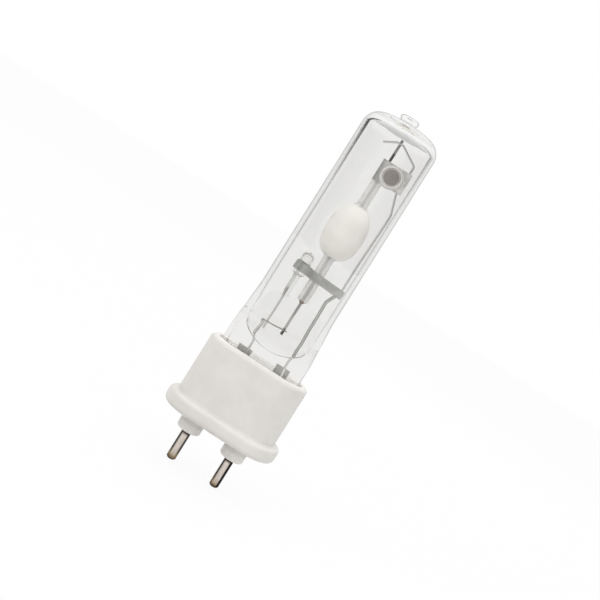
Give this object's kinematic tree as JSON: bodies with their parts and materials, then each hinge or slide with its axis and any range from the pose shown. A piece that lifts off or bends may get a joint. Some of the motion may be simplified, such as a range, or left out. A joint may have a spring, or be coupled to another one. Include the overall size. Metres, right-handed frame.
{
  "type": "metal halide lamp",
  "caption": "Single-ended ceramic metal halide lamp: clear tubular quartz bulb with a ceramic arc tube, on a rectangular ceramic two-pin base.",
  "frame": {"origin": "on the lamp axis at the underside of the base's flange, midway between the two pins", "axes": "+Z along the lamp axis from the pins to the glass tip, X through both pins, -Y the side with the getter plate"},
  "size_m": [0.0296, 0.0196, 0.0972],
  "materials": {
    "quartz": "clear polished",
    "ceramic": "satin glaze",
    "cement": "rough",
    "pin_metal": "satin, warm tinted",
    "alumina": "translucent, satin",
    "frit": "glassy",
    "niobium": "dull",
    "tungsten": "dull",
    "foil": "satin",
    "lead_wire": "satin",
    "strap_metal": "satin",
    "getter_powder": "matte"
  },
  "bodies": {
    "root": {"outer_bulb": "quartz", "enhancer_bulb": "quartz", "base_shell": "ceramic", "base_cement": "cement", "contact_pin_left": "pin_metal", "contact_pin_right": "pin_metal", "arc_tube": "alumina", "frit_seal_lower": "frit", "frit_seal_upper": "frit", "niobium_lead_lower": "niobium", "niobium_lead_upper": "niobium", "electrode_lower": "tungsten", "electrode_upper": "tungsten", "electrode_coil_lower": "tungsten", "electrode_coil_upper": "tungsten", "foil_left": "foil", "foil_right": "foil", "enhancer_foil": "foil", "inner_lead_left": "lead_wire", "inner_lead_right": "lead_wire", "outer_lead_left": "lead_wire", "outer_lead_right": "lead_wire", "stub_wire": "lead_wire", "frame_wire_lower": "lead_wire", "frame_wire_upper": "lead_wire", "link_wire": "lead_wire", "enhancer_lead": "lead_wire", "enhancer_strap": "strap_metal", "getter_plate": "strap_metal", "getter_cup": "strap_metal", "getter_pellet": "getter_powder"}
  },
  "joints": []
}
